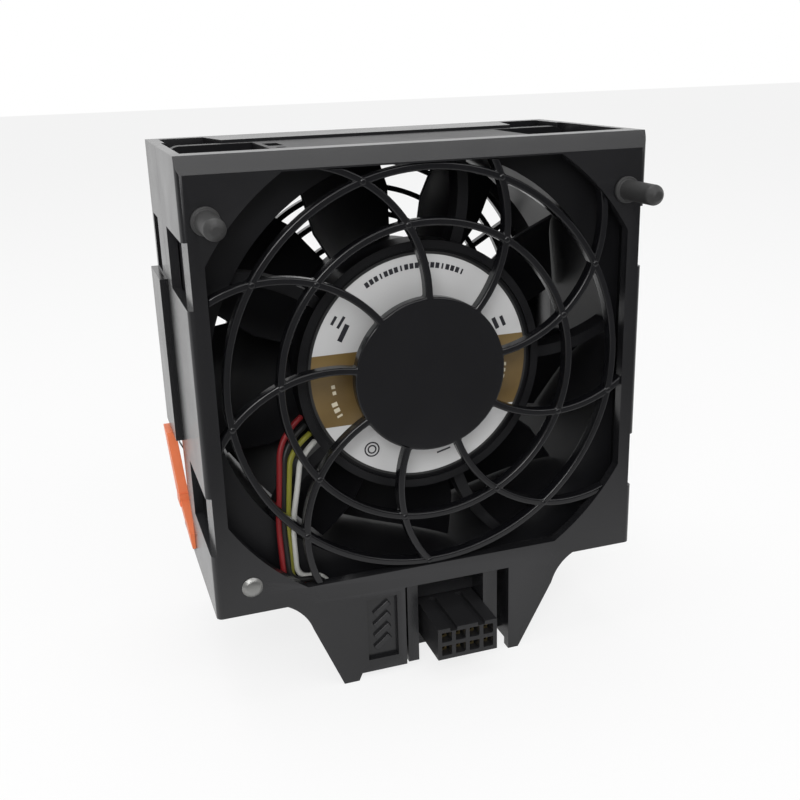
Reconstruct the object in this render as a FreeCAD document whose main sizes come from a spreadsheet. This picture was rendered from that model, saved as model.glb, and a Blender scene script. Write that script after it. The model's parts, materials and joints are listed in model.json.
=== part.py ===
import FreeCAD, Part
import math
import os
from types import SimpleNamespace

import Sketcher
from FreeCAD import Placement, Rotation, Vector

# Server fan module: a 120 mm axial fan between two snap-fit plastic housings, with a
# docking connector in a tab below and a sprung release latch on the left rear wall.
# Frame: X to the right, Y from the front grille to the back, Z up, origin under the
# middle of the front face at the height of the tab's feet. Millimetres and degrees.

SIZES = {
    # module envelope
    "module_width": 125.0,
    "module_height": 121.0,
    "module_depth": 65.0,
    "front_depth": 38.0,
    "wall": 2.5,
    "plate": 3.0,
    "corner_round": 1.6,
    "edge_band": 4.4,
    # front opening and grille
    "opening_radius": 67.0,
    "side_margin": 5.0,
    "sill": 4.8,
    "grille_depth": 3.6,
    "grille_disc": 21.2,
    "inner_ring": 40.8,
    "outer_ring": 54.7,
    "rib_width": 2.0,
    "spoke_count": 9,
    "spoke_bend": 35.6,
    "spoke_bend_offset": 41.8,
    "spoke_start": 68.8,
    # rear guard
    "rear_opening": 58.6,
    "guard_depth": 2.4,
    "guard_rib": 1.6,
    "guard_first": 19.4,
    "guard_pitch": 8.0,
    "guard_rings": 5,
    "guard_spokes": 6,
    # docking tab under the front
    "tab_drop": 28.0,
    "tab_top_half": 43.3,
    "tab_foot_half": 28.5,
    "tab_blend": 14.0,
    "tab_depth": 52.0,
    "tab_skin": 2.5,
    "tab_lift": 2.2,
    "foot_left": 4.4,
    "foot_right": 25.7,
    # connector bay
    "bay_left": 9.5,
    "bay_right": 22.5,
    "bay_top": 1.0,
    "bay_depth": 9.0,
    "bay_back": 2.0,
    "connector_shift": 5.4,
    "connector_width": 18.0,
    "connector_height": 9.8,
    "connector_drop": 15.4,
    "connector_reach": 10.0,
    "connector_tail": 9.0,
    "contact_pitch": 4.2,
    "contact_socket": 2.9,
    "contact_size": 1.8,
    # fan
    "fan_size": 119.4,
    "fan_depth": 38.0,
    "fan_start": 8.0,
    "fan_flange": 4.0,
    "fan_bore": 58.0,
    "fan_hole_pitch": 105.0,
    "fan_hole": 2.15,
    "strut_count": 5,
    "strut_width": 3.2,
    "strut_depth": 6.0,
    "strut_bend": 44.0,
    "base_radius": 35.0,
    "base_skin": 2.4,
    "base_set_back": 1.6,
    "base_skirt": 6.0,
    "label_radius": 31.8,
    "label_skin": 0.3,
    # motor
    "shaft_radius": 2.0,
    "shaft_fit": 0.03,
    "bearing_radius": 5.5,
    "bearing_width": 4.0,
    "tube_skin": 1.7,
    "tube_length": 25.0,
    "stator_radius": 24.0,
    "stator_length": 15.0,
    "tooth_width": 4.6,
    "pole_count": 6,
    "air_gap": 0.6,
    "magnet_skin": 3.4,
    "yoke_skin": 1.4,
    "hub_skin": 1.8,
    "hub_length": 26.0,
    "rotor_gap": 1.2,
    "board_radius": 28.0,
    "board_skin": 1.6,
    # impeller blades
    "blade_count": 9,
    "tip_gap": 0.8,
    "blade_chord": 25.0,
    "blade_skin": 1.8,
    # pins and rivet
    "pin_radius": 2.7,
    "pin_reach": 16.0,
    "pin_across": 56.4,
    "pin_up": 105.8,
    "pin_collar": 3.6,
    "rivet_head": 3.1,
    # release latch
    "latch_gap": 0.7,
    "latch_lean": 2.6,
    "latch_set_in": 0.6,
    "arm_end": 5.0,
    "arm_neck": 2.0,
    "latch_skin": 2.8,
    "latch_top": 35.0,
    "latch_foot": 3.5,
    "latch_pivot_up": 14.0,
    "latch_pin": 1.2,
    "rail_skin": 2.0,
    "rail_top": 84.5,
    "rail_behind": 5.0,
    # housing details
    "edge_slope": 1.8,
    "flank_run": 8.0,
    "flank_drop": 8.5,
    "tab_root": 0.5,
    "tab_ceiling": 0.8,
    "foot_slope": 1.0,
    "roof_land": 36.0,
    "roof_taper": 0.2,
    "roof_wall": 3.5,
    "roof_rim": 4.0,
    "fan_fit": 0.3,
    "duct_skin": 2.0,
    "clip_across": 32.5,
    "clip_start": 27.0,
    "clip_wide": 4.0,
    "clip_long": 9.0,
    "clip_depth": 2.5,
    "window_low": 18.5,
    "window_high": 84.5,
    "window_height": 16.5,
    "window_start": 12.0,
    "window_end": 30.0,
    "window_step": 1.4,
    "post_radius": 4.0,
    "pin_stem": 2.0,
    "connector_fit": 0.3,
    "rib_inset": 0.8,
    "bay_rib_left": 3.2,
    "bay_rib_right": 4.4,
    "relief_left": 21.0,
    "relief_right": 12.0,
    "relief_low": 22.0,
    "relief_high": 2.8,
    "relief_depth": 1.4,
    "lead_slot_left": 34.0,
    "lead_slot_right": 23.0,
    "grille_set_back": 0.4,
    "spoke_lead": 155.0,
    "spoke_sweep": 125.0,
    "seam_gap": 0.15,
    "notch_depth": 14.0,
    "notch_height": 16.0,
    "latch_room": 1.5,
    "well_depth": 18.5,
    "latch_pivot_in": 4.2,
    "latch_barrel": 2.5,
    "latch_pin_fit": 0.05,
    "barrel_back": 7.0,
    "barrel_length": 7.0,
    "ear_skin": 2.0,
    "ear_gap": 0.3,
    "ear_rim": 0.7,
    "spring_shelf": 6.0,
    "spring_up": 28.0,
    "spring_rise": 9.0,
    "spring_width": 4.0,
    "spring_bend": 2.4,
    "spring_skin": 0.3,
    "spring_fit": 0.3,
    "thumb_length": 9.0,
    "guard_set_in": 0.3,
    "guard_fit": 0.1,
    "base_rim": 2.2,
    "fan_corner": 4.0,
    "tube_step": 2.0,
    "tube_shoulder": 1.2,
    "tube_foot": 1.5,
    "tube_fit": 0.1,
    "bearing_edge": 0.4,
    "board_rise": 0.4,
    "stator_ring": 2.2,
    "shoe_skin": 2.0,
    "shoe_angle": 24.0,
    "winding_build": 2.0,
    "winding_rise": 2.0,
    "boss_skin": 2.2,
    "shaft_tip_gap": 0.3,
    "clip_gap": 0.2,
    "clip_skin": 0.6,
    "clip_width": 1.4,
    "washer_skin": 0.3,
    "washer_rise": 0.9,
    "washer_gap": 0.1,
    "hub_chamfer": 0.8,
    "blade_root_x": 28.0,
    "blade_root_half": 11.0,
    "blade_mid_half": 15.0,
    "blade_tip_half": 14.5,
    "blade_back": 38.0,
    "blade_face": 46.0,
    "pin_nose": 1.8,
    "collar_skin": 1.2,
    "rivet_dome": 1.2,
    "connector_lug": 1.5,
    "groove_width": 2.0,
    "groove_depth": 1.0,
    "contact_inset": 3.0,
    "lead_radius": 0.8,
}

document = FreeCAD.newDocument("server_fan_module")
sheet = document.addObject("Spreadsheet::Sheet", "sizes")
for row, (alias, number) in enumerate(SIZES.items(), start=1):
    sheet.set(f"A{row}", alias)
    sheet.set(f"B{row}", str(number))
    sheet.setAlias(f"B{row}", alias)
document.recompute()


class Size:
    """A length that carries both its number and the sheet formula that gives it."""

    def __init__(self, number, formula):
        self.number = number
        self.formula = formula

    def _join(self, other, sign, number):
        right = other.formula if isinstance(other, Size) else repr(float(other))
        return Size(number, f"({self.formula} {sign} {right})")

    def __add__(self, other):
        return self._join(other, "+", self.number + float(other))

    def __sub__(self, other):
        return self._join(other, "-", self.number - float(other))

    def __mul__(self, other):
        return self._join(other, "*", self.number * float(other))

    def __truediv__(self, other):
        return self._join(other, "/", self.number / float(other))

    def __neg__(self):
        return Size(-self.number, f"(0 - {self.formula})")

    def __float__(self):
        return float(self.number)

    def root(self):
        return Size(math.sqrt(self.number), f"sqrt({self.formula})")

    def cosine(self):
        return Size(math.cos(math.radians(self.number)), f"cos({self.formula} * 1 deg)")

    def sine(self):
        return Size(math.sin(math.radians(self.number)), f"sin({self.formula} * 1 deg)")


S = SimpleNamespace(**{name: Size(value, f"sizes.{name}") for name, value in SIZES.items()})
ZERO = Size(0.0, "0")


def bind(item, path, size):
    """Set a property to a plain number, or tie it to the sheet."""
    if isinstance(size, Size):
        item.setExpression(path, size.formula)
    else:
        item.setExpression(path, str(float(size)))


def as_size(value):
    return value if isinstance(value, Size) else Size(float(value), repr(float(value)))


# ---------------------------------------------------------------- sketches and features

parts = {}


def new_body(label, up=ZERO, across=ZERO):
    body = document.addObject("PartDesign::Body", label)
    body.Label = label
    bind(body, "Placement.Base.x", as_size(across))
    bind(body, "Placement.Base.z", as_size(up))
    parts[label] = body
    return body


def origin_item(body, role):
    return next(item for item in body.Origin.OriginFeatures if item.Role == role)


def new_sketch(body, role, at=ZERO):
    """A sketch on one of the body's origin planes, moved along +X, +Y or +Z by `at`."""
    sketch = body.newObject("Sketcher::SketchObject", body.Label + "_sketch")
    sketch.AttachmentSupport = [(origin_item(body, role), "")]
    sketch.MapMode = "FlatFace"
    at = as_size(at)
    bind(sketch, "AttachmentOffset.Base.z", -at if role == "XZ_Plane" else at)
    return sketch


def tie_point(sketch, edge, end, x, y):
    for kind, size in (("DistanceX", as_size(x)), ("DistanceY", as_size(y))):
        index = sketch.addConstraint(Sketcher.Constraint(kind, -1, 1, edge, end, size.number))
        name = f"{kind}{index}"
        sketch.renameConstraint(index, name)
        sketch.setExpression("Constraints." + name, size.formula)


def tie_radius(sketch, edge, radius):
    radius = as_size(radius)
    index = sketch.addConstraint(Sketcher.Constraint("Radius", edge, radius.number))
    sketch.renameConstraint(index, f"Radius{index}")
    sketch.setExpression(f"Constraints.Radius{index}", radius.formula)


def draw_circle(sketch, x, y, radius):
    centre = Vector(float(x), float(y), 0)
    edge = sketch.addGeometry(Part.Circle(centre, Vector(0, 0, 1), float(radius)))
    tie_point(sketch, edge, 3, x, y)
    tie_radius(sketch, edge, radius)


def arc_between(start, end, radius, left):
    """The short arc from start to end; `left` puts its centre on the left of the way."""
    chord = end - start
    middle = (start + end) * 0.5
    rise = math.sqrt(max(radius * radius - chord.Length ** 2 / 4, 0.0))
    normal = Vector(-chord.y, chord.x, 0).normalize()
    centre = middle + normal * (rise if left else -rise)
    angles = [math.atan2(p.y - centre.y, p.x - centre.x) for p in (start, end)]
    if not left:
        angles.reverse()
    circle = Part.Circle(centre, Vector(0, 0, 1), radius)
    return Part.ArcOfCircle(circle, angles[0], angles[1])


def draw_outline(sketch, points):
    """A closed outline. Each point is (x, y), or (x, y, radius, side) where an arc leads
    to it from the point before, with its centre on the "left" or "right" of the way."""
    places = [Vector(float(p[0]), float(p[1]), 0) for p in points]
    edges = []
    for number, point in enumerate(points):
        before, here = places[number - 1], places[number]
        if len(point) == 2:
            edges.append((sketch.addGeometry(Part.LineSegment(before, here)), 1, 2))
        else:
            left = point[3] == "left"
            arc = arc_between(before, here, float(point[2]), left)
            edges.append((sketch.addGeometry(arc), 1, 2) if left
                         else (sketch.addGeometry(arc), 2, 1))
    for number, point in enumerate(points):
        edge, _, finish = edges[number]
        following, start, _ = edges[(number + 1) % len(edges)]
        sketch.addConstraint(Sketcher.Constraint("Coincident", edge, finish, following, start))
        tie_point(sketch, edge, finish, point[0], point[1])
        if len(point) == 4:
            tie_radius(sketch, edge, point[2])


def draw_rectangle(sketch, left, low, right, high):
    draw_outline(sketch, [(left, low), (right, low), (right, high), (left, high)])


def extrude(body, kind, sketch, depth, backwards=False):
    """Pad or Pocket. Sketches on the XZ plane grow along +Y, unless told otherwise."""
    feature = body.newObject("PartDesign::" + kind, body.Label + "_" + kind.lower())
    feature.Profile = sketch
    if depth is None:
        feature.Type = "ThroughAll"
        feature.Midplane = True
    else:
        bind(feature, "Length", as_size(depth))
    along_normal = kind == "Pad"
    faces_minus_y = "XZ" in sketch.AttachmentSupport[0][0].Role
    feature.Reversed = (along_normal == faces_minus_y) != backwards
    document.recompute()
    return feature


def pad(body, sketch, depth, backwards=False):
    return extrude(body, "Pad", sketch, depth, backwards)


def pocket(body, sketch, depth=None, backwards=False):
    """Cut from the sketch along +Y, +X or +Z; all the way through when depth is left out."""
    before = body.Shape.Volume
    feature = extrude(body, "Pocket", sketch, depth, backwards)
    if body.Shape.Volume > before - 0.01:
        raise RuntimeError(f"a pocket of {body.Label} cuts nothing")
    return feature


def spin(body, outline, kind="Revolution"):
    """Turn a (radius, along Y) outline about the body's Y axis."""
    sketch = new_sketch(body, "XY_Plane")
    draw_outline(sketch, outline)
    feature = body.newObject("PartDesign::" + kind, body.Label + "_turned")
    feature.Profile = sketch
    feature.ReferenceAxis = (sketch, ["V_Axis"])
    feature.Angle = 360
    document.recompute()
    return feature


def repeat(body, feature, count):
    """Copy a feature round the body's Y axis."""
    pattern = body.newObject("PartDesign::PolarPattern", body.Label + "_round")
    pattern.Originals = [feature]
    pattern.Axis = (origin_item(body, "Y_Axis"), [""])
    pattern.Angle = 360
    bind(pattern, "Occurrences", count)
    body.Tip = pattern
    document.recompute()
    return pattern


def turned(label, outline, up, across=ZERO):
    body = new_body(label, up, across)
    spin(body, outline)
    return body


def solid(label, shape):
    """A piece whose form is set directly: swept wires and small groups."""
    feature = document.addObject("Part::Feature", label)
    feature.Label = label
    feature.Shape = shape
    feature.Placement = Placement()
    parts[label] = feature
    return feature


# ---------------------------------------------------------------- shared places

floor_z = S.tab_drop                       # underside of the square housing
top_z = S.tab_drop + S.module_height
half_width = S.module_width / 2
axis_z = S.tab_drop + S.module_height / 2  # fan axis
inner_half = half_width - S.wall
seam_clearance = 0.15
fan_end = S.fan_start + S.fan_depth
hole_offset = S.fan_hole_pitch / 2
rail_start = S.front_depth + S.rail_behind
well_start = S.module_depth - S.well_depth
barrel_end = S.module_depth - S.barrel_back
barrel_start = barrel_end - S.barrel_length

# ---------------------------------------------------------------- front housing
# Square tube with the front plate, a roof with two open corners and the hollow docking
# tab below, moulded in one piece of black plastic.

opening_half = half_width - S.side_margin
opening_rise = S.module_height / 2 - S.sill


def draw_opening(sketch, clearance, up):
    """The big front opening: a circle cut off straight on all four sides."""
    radius = S.opening_radius - clearance
    wide = opening_half - clearance
    high = opening_rise - clearance
    corner_z = (radius * radius - wide * wide).root()
    corner_x = (radius * radius - high * high).root()
    draw_outline(sketch, [
        (wide, up + corner_z),
        (corner_x, up + high, radius, "left"),
        (-corner_x, up + high),
        (-wide, up + corner_z, radius, "left"),
        (-wide, up - corner_z),
        (-corner_x, up - high, radius, "left"),
        (corner_x, up - high),
        (wide, up - corner_z, radius, "left"),
    ])


def add_tube(body, start, depth):
    sketch = new_sketch(body, "XZ_Plane", start)
    draw_rectangle(sketch, -half_width, floor_z, half_width, top_z)
    pad(body, sketch, depth)


def round_long_edges(body, radius, test):
    """Fillet the straight edges that pass the test, found by where they lie."""
    names = []
    for number, edge in enumerate(body.Shape.Edges, start=1):
        if test(edge):
            names.append(f"Edge{number}")
    base = body.Tip
    fillet = body.newObject("PartDesign::Fillet", body.Label + "_round_edge")
    fillet.Base = (base, names)
    bind(fillet, "Radius", radius)
    document.recompute()


def hollow_tube(body, start, depth):
    sketch = new_sketch(body, "XZ_Plane", start)
    draw_rectangle(sketch, -inner_half, floor_z + S.wall, inner_half, top_z - S.wall)
    pocket(body, sketch, depth)


def open_roof_and_floor(body, start):
    """Along the fan only the side walls are left: the fan's own flats close the rest."""
    sketch = new_sketch(body, "XZ_Plane", start)
    draw_rectangle(sketch, -inner_half, floor_z - 1.0, inner_half, top_z + 1.0)
    pocket(body, sketch, fan_end + S.fan_fit - start)


def add_tab(body, start, depth):
    """The tab seen from the front: a trapezium with hollow blends up to the housing."""
    flank = S.tab_foot_half + S.flank_run
    sketch = new_sketch(body, "XZ_Plane", start)
    draw_outline(sketch, [
        (S.tab_top_half, floor_z),
        (S.tab_top_half, floor_z + S.tab_root),
        (-S.tab_top_half, floor_z + S.tab_root),
        (-S.tab_top_half, floor_z),
        (-flank, floor_z - S.flank_drop, S.tab_blend, "right"),
        (-S.tab_foot_half, ZERO),
        (-S.tab_foot_half + S.foot_left, ZERO),
        (-S.tab_foot_half + S.foot_left + S.foot_slope, S.tab_lift),
        (S.bay_right - S.foot_slope * 2, S.tab_lift),
        (S.bay_right - S.foot_slope, ZERO),
        (S.foot_right, ZERO),
        (flank, floor_z - S.flank_drop),
        (S.tab_top_half, floor_z, S.tab_blend, "right"),
    ][1:])
    pad(body, sketch, depth)


def hollow_tab(body, start, depth):
    foot = S.tab_foot_half - S.tab_skin
    flank = foot + S.flank_run
    sketch = new_sketch(body, "XZ_Plane", start)
    draw_outline(sketch, [
        (flank, floor_z - S.tab_ceiling),
        (-flank, floor_z - S.tab_ceiling),
        (-flank, floor_z - S.flank_drop),
        (-foot, -S.tab_skin),
        (S.foot_right - S.tab_skin, -S.tab_skin),
        (flank, floor_z - S.flank_drop),
    ])
    pocket(body, sketch, depth)


def post_places():
    """The four fan hole centres, lower left first: (across, up)."""
    return [(-hole_offset, axis_z - hole_offset), (hole_offset, axis_z - hole_offset),
            (hole_offset, axis_z + hole_offset), (-hole_offset, axis_z + hole_offset)]


front = new_body("front_housing")
add_tube(front, ZERO, S.front_depth)
round_long_edges(front, S.corner_round, lambda edge: (
    edge.BoundBox.YMax < 1e-6 and edge.BoundBox.XLength < 1e-6))
hollow_tube(front, S.plate, S.front_depth)
open_roof_and_floor(front, S.fan_start)
add_tab(front, ZERO, S.front_depth)
hollow_tab(front, S.plate, S.front_depth)

# sloping band along the upper front edge
sketch = new_sketch(front, "YZ_Plane")
draw_outline(sketch, [(ZERO, top_z - S.edge_band), (S.edge_slope, top_z), (-S.wall, top_z),
                      (-S.wall, top_z - S.edge_band)])
pocket(front, sketch)

sketch = new_sketch(front, "XZ_Plane")
draw_opening(sketch, ZERO, axis_z)
pocket(front, sketch, S.plate * 1.5)

# side windows: a shallow step at the front edge, then a hole through both walls
for low, high in ((S.window_low, S.window_low + S.window_height),
                  (S.window_high, S.window_high + S.window_height)):
    sketch = new_sketch(front, "YZ_Plane")
    draw_rectangle(sketch, S.window_start, floor_z + low, S.window_end, floor_z + high)
    pocket(front, sketch)
    for side in (-1, 1):
        sketch = new_sketch(front, "YZ_Plane", half_width * side)
        draw_rectangle(sketch, -1.0, floor_z + low, S.window_start + 1.0, floor_z + high)
        pocket(front, sketch, S.window_step, backwards=side > 0)

# posts behind the plate that seat the fan's front flange, three with locating pegs
for number, (post_x, post_z) in enumerate(post_places()):
    sketch = new_sketch(front, "XZ_Plane", S.plate - 0.5)
    draw_circle(sketch, post_x, post_z, S.post_radius)
    pad(front, sketch, S.fan_start - S.plate + 0.5)
    if number > 0:
        sketch = new_sketch(front, "XZ_Plane", S.fan_start - 0.5)
        draw_circle(sketch, post_x, post_z, S.fan_hole - 0.15)
        pad(front, sketch, S.fan_flange + 0.5)
    else:
        sketch = new_sketch(front, "XZ_Plane")
        draw_circle(sketch, post_x, post_z, S.fan_hole)
        pocket(front, sketch, S.fan_start + S.fan_flange)

# holes for the two guide pins
for side in (-1, 1):
    sketch = new_sketch(front, "XZ_Plane")
    draw_circle(sketch, S.pin_across * side, floor_z + S.pin_up, S.pin_stem)
    pocket(front, sketch, S.plate)

# connector bay: a box behind the plate, open to the front and below
bay_floor = S.tab_lift
bay_roof = floor_z - S.bay_top
sketch = new_sketch(front, "XZ_Plane", S.plate - 0.5)
draw_rectangle(sketch, -S.bay_left - S.bay_back, bay_floor, S.bay_right + S.bay_back, floor_z)
pad(front, sketch, S.bay_depth + S.bay_back - S.plate + 0.5)
sketch = new_sketch(front, "XZ_Plane")
draw_rectangle(sketch, -S.bay_left, -S.wall, S.bay_right, bay_roof)
pocket(front, sketch, S.bay_depth)
connector_low = floor_z - S.connector_drop - S.connector_height / 2
connector_high = floor_z - S.connector_drop + S.connector_height / 2
connector_half = S.connector_width / 2
sketch = new_sketch(front, "XZ_Plane")
draw_rectangle(sketch, S.connector_shift - connector_half - S.connector_fit,
               connector_low - S.connector_fit,
               S.connector_shift + connector_half + S.connector_fit,
               connector_high + S.connector_fit)
pocket(front, sketch, S.bay_depth + S.bay_back + 1.0)
for rib_left, rib_width in ((-S.bay_left + S.rib_inset, S.bay_rib_left),
                            (S.connector_shift + connector_half + S.connector_fit,
                             S.bay_rib_right)):
    sketch = new_sketch(front, "XZ_Plane", S.rib_inset)
    draw_rectangle(sketch, rib_left, bay_floor, rib_left + rib_width, bay_roof + 0.5)
    pad(front, sketch, S.bay_depth + 0.5 - S.rib_inset)

# shallow recess with slanting ribs on the left of the bay
sketch = new_sketch(front, "XZ_Plane")
draw_rectangle(sketch, -S.relief_left, floor_z - S.relief_low, -S.relief_right,
               floor_z - S.relief_high)
pocket(front, sketch, S.relief_depth)

# lead slot through the floor of the housing into the tab
sketch = new_sketch(front, "XY_Plane", floor_z - S.wall)
draw_rectangle(sketch, -S.lead_slot_left, S.plate, -S.lead_slot_right, S.fan_start + 2.0)
pocket(front, sketch, S.wall * 3)

# ---------------------------------------------------------------- front grille
# Disc, two rings and nine bent spokes on the fan axis, cut to the front opening.

grille = new_body("front_grille", axis_z)
sketch = new_sketch(grille, "XZ_Plane", S.grille_set_back)
draw_circle(sketch, 0, 0, S.grille_disc)
pad(grille, sketch, S.grille_depth)
bend_x = S.spoke_start.cosine() * S.spoke_bend_offset
bend_z = S.spoke_start.sine() * S.spoke_bend_offset
sketch = new_sketch(grille, "XZ_Plane", S.grille_set_back)


def on_bend(radius, angle):
    """A point round the spoke's own centre of bend."""
    turn = S.spoke_start - S.spoke_lead + angle
    return bend_x + turn.cosine() * radius, bend_z + turn.sine() * radius


spoke_in = S.spoke_bend - S.rib_width / 2
spoke_out = S.spoke_bend + S.rib_width / 2
draw_outline(sketch, [
    on_bend(spoke_out, ZERO),
    on_bend(spoke_out, S.spoke_sweep) + (spoke_out, "left"),
    on_bend(spoke_in, S.spoke_sweep),
    on_bend(spoke_in, ZERO) + (spoke_in, "right"),
])
spoke = pad(grille, sketch, S.grille_depth)
repeat(grille, spoke, S.spoke_count)
for ring in (S.inner_ring, S.outer_ring):
    sketch = new_sketch(grille, "XZ_Plane", S.grille_set_back)
    draw_circle(sketch, 0, 0, ring + S.rib_width / 2)
    draw_circle(sketch, 0, 0, ring - S.rib_width / 2)
    pad(grille, sketch, S.grille_depth)
sketch = new_sketch(grille, "XZ_Plane", -1.0)
draw_circle(sketch, 0, 0, S.module_width)
draw_opening(sketch, ZERO, ZERO)
pocket(grille, sketch, S.grille_depth + 3.0)

# ---------------------------------------------------------------- rear housing
# The back half of the shell: walls with raised runners, a back plate with a round
# opening, pillars behind the fan and the carriers of the release latch.

def open_roof_corners(body, start, depth):
    """The two openings in the rear roof, beside the land that goes on from the fan's flat."""
    for side in (-1, 1):
        first = (S.roof_land + (start - S.fan_start) * S.roof_taper) * side
        last = (S.roof_land + (start + depth - S.fan_start) * S.roof_taper) * side
        wall_x = (half_width - S.roof_wall) * side
        sketch = new_sketch(body, "XY_Plane", top_z - S.wall * 2)
        draw_outline(sketch, [
            (first, start), (wall_x, start), (wall_x, start + depth), (last, start + depth)])
        pocket(body, sketch, S.wall * 3)


rear = new_body("rear_housing")
rear_depth = S.module_depth - S.front_depth - S.seam_gap
rear_start = S.front_depth + S.seam_gap
add_tube(rear, rear_start, rear_depth)
hollow_tube(rear, rear_start, rear_depth - S.plate)
open_roof_and_floor(rear, rear_start)
add_tab(rear, rear_start, S.tab_depth - rear_start)
hollow_tab(rear, rear_start, S.tab_depth - rear_start - S.tab_skin)
for side in (-1, 1):
    sketch = new_sketch(rear, "YZ_Plane", (half_width - 0.5) * side)
    draw_rectangle(sketch, rail_start, floor_z, S.module_depth, floor_z + S.rail_top)
    pad(rear, sketch, S.rail_skin + 0.5, backwards=side < 0)
sketch = new_sketch(rear, "XZ_Plane", S.module_depth - S.plate * 1.5)
draw_circle(sketch, 0, axis_z, S.rear_opening)
pocket(rear, sketch, S.plate * 2)
open_roof_corners(rear, fan_end, S.module_depth - S.roof_rim - fan_end)

# notches at the back edge of both walls, above the runners and low on the right
sketch = new_sketch(rear, "YZ_Plane")
draw_rectangle(sketch, S.module_depth - S.notch_depth, floor_z + S.rail_top + 0.5,
               S.module_depth - S.plate, floor_z + S.rail_top + S.notch_height)
pocket(rear, sketch)

# the latch well: the runner is cut back and the wall opened behind the thumb tab
well_high = floor_z + S.latch_top + S.latch_room
sketch = new_sketch(rear, "YZ_Plane", -half_width)
draw_rectangle(sketch, rail_start - 1.0, floor_z - 1.0, S.module_depth + 1.0, well_high)
pocket(rear, sketch, S.rail_skin + 1.0, backwards=True)
sketch = new_sketch(rear, "YZ_Plane", -half_width)
draw_outline(sketch, [
    (S.module_depth + 1.0, floor_z + S.wall),
    (S.module_depth + 1.0, well_high),
    (well_start, well_high),
    (well_start - S.latch_room, floor_z + S.latch_pivot_up + S.latch_room * 4),
    (S.front_depth + S.seam_gap, floor_z + S.latch_pivot_up - S.latch_room),
    (S.front_depth + S.seam_gap, floor_z + S.wall),
])
pocket(rear, sketch, S.wall + 0.5)

# pillars between the back plate and the fan's rear flange
for post_x, post_z in post_places():
    sketch = new_sketch(rear, "XZ_Plane", fan_end)
    draw_circle(sketch, post_x, post_z, S.post_radius)
    pad(rear, sketch, S.module_depth - S.plate / 2 - fan_end)

# two ears that hold the latch pin, and the shelf behind the latch spring
pivot_x = -half_width + S.latch_pivot_in
pivot_z = floor_z + S.latch_pivot_up
ear_half = S.latch_barrel + S.ear_rim
ear_outer = pivot_x - S.latch_pin - S.ear_rim
for ear_start in (barrel_start - S.ear_skin - S.ear_gap, barrel_end + S.ear_gap):
    sketch = new_sketch(rear, "XZ_Plane", ear_start)
    draw_rectangle(sketch, ear_outer, floor_z + S.wall / 2, pivot_x + ear_half,
                   pivot_z + ear_half)
    pad(rear, sketch, S.ear_skin)
pin_start = barrel_start - S.ear_skin - S.ear_gap
pin_end = barrel_end + S.ear_skin + S.ear_gap
sketch = new_sketch(rear, "XZ_Plane", pin_start - S.ear_gap)
draw_circle(sketch, pivot_x, pivot_z, S.latch_pin)
pocket(rear, sketch, pin_end - pin_start + S.ear_gap * 2)
shelf_x = -half_width + S.spring_shelf
sketch = new_sketch(rear, "XZ_Plane", barrel_start)
draw_rectangle(sketch, shelf_x, floor_z + S.spring_up - S.spring_rise / 2 - 1.0,
               shelf_x + S.wall, floor_z + S.spring_up + S.spring_rise / 2 + 1.0)
pad(rear, sketch, S.module_depth - S.plate / 2 - barrel_start)

# ---------------------------------------------------------------- rear guard
# Round finger guard pressed into the back plate: a rim, rings and straight spokes.

guard = new_body("rear_guard", axis_z)
guard_start = S.module_depth - S.plate + S.guard_set_in
guard_outer = S.rear_opening - S.guard_fit
sketch = new_sketch(guard, "XZ_Plane", guard_start)
draw_circle(sketch, 0, 0, guard_outer)
draw_circle(sketch, 0, 0, guard_outer - S.guard_rib)
pad(guard, sketch, S.guard_depth)
sketch = new_sketch(guard, "XZ_Plane", guard_start)
draw_rectangle(sketch, ZERO, -S.guard_rib / 2, guard_outer - S.guard_rib / 2, S.guard_rib / 2)
spoke = pad(guard, sketch, S.guard_depth)
repeat(guard, spoke, S.guard_spokes)
for number in range(int(S.guard_rings.number)):
    ring = S.guard_first + S.guard_pitch * number
    sketch = new_sketch(guard, "XZ_Plane", guard_start)
    draw_circle(sketch, 0, 0, ring + S.guard_rib / 2)
    draw_circle(sketch, 0, 0, ring - S.guard_rib / 2)
    pad(guard, sketch, S.guard_depth)

# ---------------------------------------------------------------- fan frame
# Two square flanges, the round duct between them, and the motor base on bent struts.

fan = new_body("fan_frame", axis_z)
base_front = S.fan_start + S.base_set_back
tube_radius = S.bearing_radius + S.tube_skin
spin(fan, [
    (S.shaft_radius + 1.0, base_front),
    (S.base_radius - S.base_rim, base_front),
    (S.base_radius - S.base_rim, S.fan_start + 0.3),
    (S.base_radius, S.fan_start + 0.3),
    (S.base_radius, base_front + S.base_skirt),
    (S.base_radius - S.base_rim, base_front + S.base_skirt),
    (S.base_radius - S.base_rim, base_front + S.base_skin),
    (S.shaft_radius + 1.0, base_front + S.base_skin),
])
sketch = new_sketch(fan, "XZ_Plane", base_front + 0.4)
strut_in = S.strut_bend - S.strut_width / 2
strut_out = S.strut_bend + S.strut_width / 2
reach = S.fan_bore + 0.8
draw_outline(sketch, [
    (S.base_radius - 1.0, S.strut_width / 2),
    (S.base_radius - 1.0, -S.strut_width / 2),
    (reach, S.strut_width * 1.5, S.strut_bend, "left"),
    (reach, S.strut_width * 2.5),
    (S.base_radius - 1.0, S.strut_width / 2, S.strut_bend, "right"),
][1:])
strut = pad(fan, sketch, S.strut_depth)
repeat(fan, strut, S.strut_count)
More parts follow.
